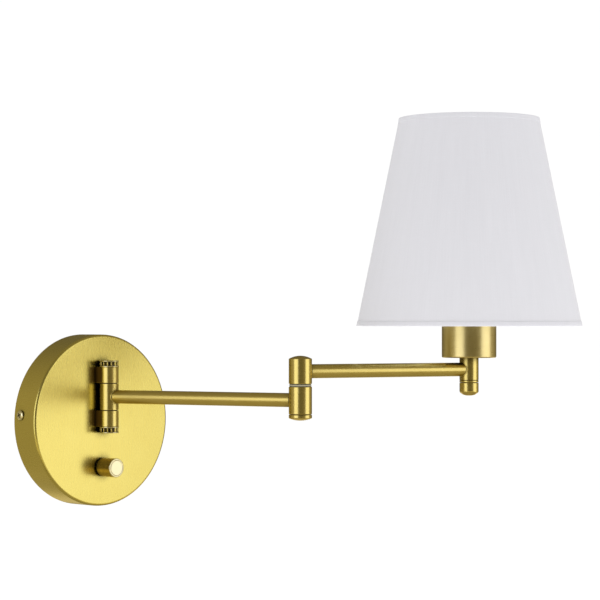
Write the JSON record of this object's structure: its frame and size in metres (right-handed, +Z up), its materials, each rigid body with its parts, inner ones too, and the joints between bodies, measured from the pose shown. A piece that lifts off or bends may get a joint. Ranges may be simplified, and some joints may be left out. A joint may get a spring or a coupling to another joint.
{
  "type": "swing arm wall sconce",
  "caption": "Brass swing arm wall lamp with a round canopy, a dimmer knob, a jointed arm that folds sideways, and a white tapered fabric shade.",
  "frame": {"origin": "on the wall, at the middle of the mounting strap's back and of the round canopy", "axes": "+Y into the wall, so the lamp stands out along -Y; +Z up; +X to the right as seen from in front of the wall"},
  "size_m": [0.3285, 0.3087, 0.2858],
  "materials": {
    "satin_brass": "satin, brushed along each piece",
    "polished_brass": "polished",
    "zinc_steel": "zinc plated",
    "green_steel": "green earth screw",
    "nylon": "natural nylon",
    "phenolic": "moulded",
    "lead_sleeve": "smooth sleeving",
    "shade_fabric": "fine white linen weave on a backing",
    "white_wire": "white powder coat",
    "frosted_glass": "frosted"
  },
  "bodies": {
    "wall_base": {"canopy": "satin_brass", "wall_strap": "zinc_steel", "canopy_screw_left": "polished_brass", "canopy_screw_right": "polished_brass", "ground_screw": "green_steel", "upper_lug": "satin_brass", "lower_lug": "satin_brass", "lug_screw": "zinc_steel", "wire_nipple": "zinc_steel", "nipple_nut": "zinc_steel", "upper_pivot_pin": "zinc_steel", "lower_pivot_pin": "zinc_steel", "upper_pivot_cap": "satin_brass", "lower_pivot_cap": "satin_brass", "upper_knuckle_washer": "nylon", "lower_knuckle_washer": "nylon", "dimmer_body": "phenolic", "dimmer_washer": "zinc_steel", "dimmer_nut": "zinc_steel", "terminal_screw_1": "zinc_steel", "terminal_screw_2": "zinc_steel", "terminal_screw_3": "zinc_steel", "terminal_block": "nylon", "lamp_lead_canopy": "lead_sleeve", "dimmer_lead": "lead_sleeve"},
    "dimmer_knob": {"dimmer_knob": "satin_brass", "dimmer_shaft": "zinc_steel"},
    "inner_arm": {"knuckle_barrel": "satin_brass", "arm_one_tube": "satin_brass", "elbow_lower_barrel": "satin_brass", "elbow_bottom_cap": "satin_brass", "lamp_lead_arm_one": "lead_sleeve"},
    "outer_arm": {"elbow_upper_barrel": "satin_brass", "elbow_ring": "nylon", "elbow_pivot": "zinc_steel", "elbow_spring_washer": "zinc_steel", "elbow_nut": "zinc_steel", "stem_barrel": "satin_brass", "arm_two_tube": "satin_brass", "stem_cap": "satin_brass", "socket_cup": "satin_brass", "holder_nipple": "zinc_steel", "holder_nut": "zinc_steel", "lampholder": "phenolic", "screw_shell": "polished_brass", "centre_contact": "polished_brass", "shade_fitter_ring": "white_wire", "shade_ring_nut": "phenolic", "shade": "shade_fabric", "shade_bottom_wire": "white_wire", "shade_top_wire": "white_wire", "shade_spoke_1": "white_wire", "shade_spoke_2": "white_wire", "shade_spoke_3": "white_wire", "bulb_cap": "zinc_steel", "bulb_globe": "frosted_glass", "lamp_lead_arm_two": "lead_sleeve"}
  },
  "joints": [
    {"name": "wall_pivot", "type": "hinge", "parent": "wall_base", "child": "inner_arm", "pos_m": [0, -0.0316, 0.0176], "axis": [0, 0, 1], "range_deg": [-107.1, 72.9]},
    {"name": "elbow_pivot", "type": "hinge", "parent": "inner_arm", "child": "outer_arm", "pos_m": [0.04705, -0.18453, 0.0283], "axis": [0, 0, 1], "range_deg": [-205.7, 94.3]},
    {"name": "dimmer_turn", "type": "hinge", "parent": "wall_base", "child": "dimmer_knob", "pos_m": [0, -0.0253, -0.0347], "axis": [0, 1, 0], "range_deg": [0, 300]}
  ]
}
